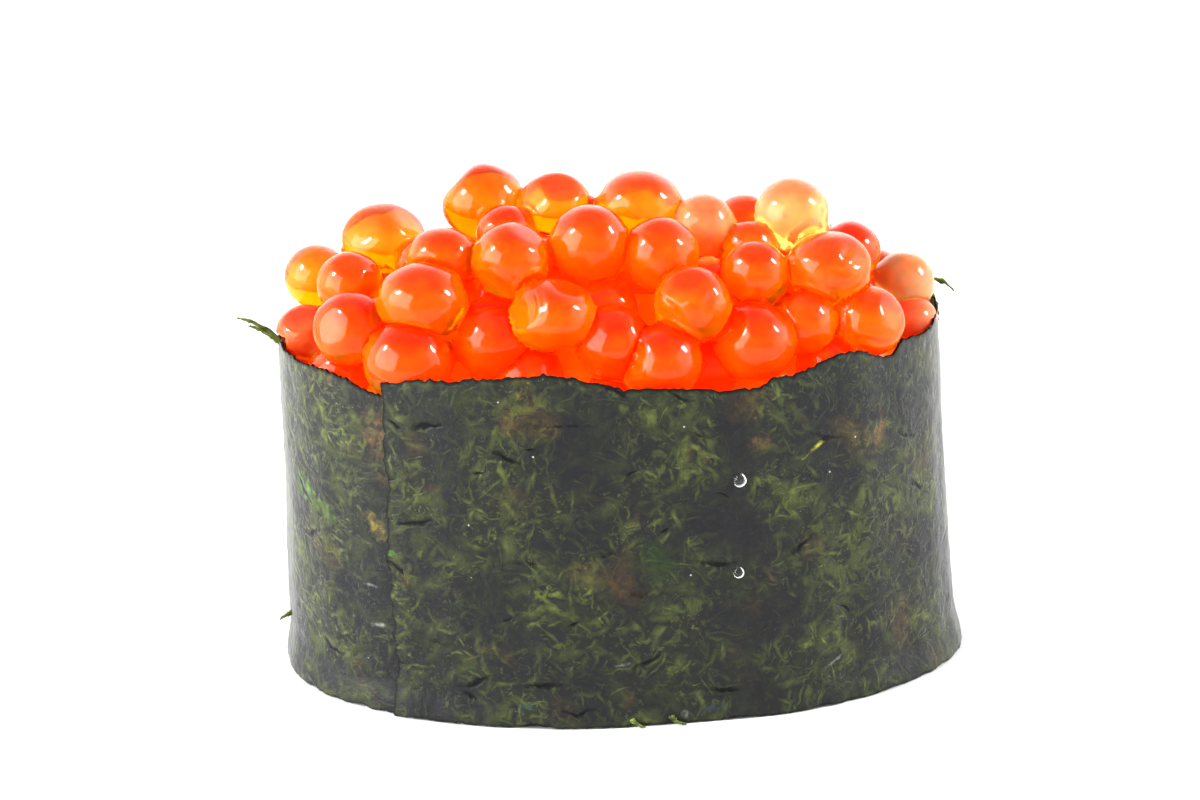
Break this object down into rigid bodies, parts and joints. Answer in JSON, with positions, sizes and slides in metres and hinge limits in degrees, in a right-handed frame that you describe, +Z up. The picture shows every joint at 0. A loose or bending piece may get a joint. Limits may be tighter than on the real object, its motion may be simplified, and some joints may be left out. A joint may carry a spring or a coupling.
{
  "type": "salmon roe sushi",
  "caption": "Oval piece of sushi: a strip of dark green seaweed stands on edge round pressed rice and is heaped with translucent orange salmon eggs.",
  "frame": {"origin": "on the flat underside of the rice, below the middle of the wound strip", "axes": "+X along the sushi to its right-hand end seen from the front, -Y out of the front, where the strip laps itself, +Z up out of the heap of roe"},
  "size_m": [0.0556, 0.0335, 0.0386],
  "materials": {
    "nori_strip": "pressed seaweed, satin",
    "rice_bed": "cooked rice, moist",
    "roe_heap": "wet and translucent"
  },
  "bodies": {
    "root": {"nori_strip": "nori_strip", "rice_bed": "rice_bed", "roe_heap": "roe_heap"}
  },
  "joints": []
}
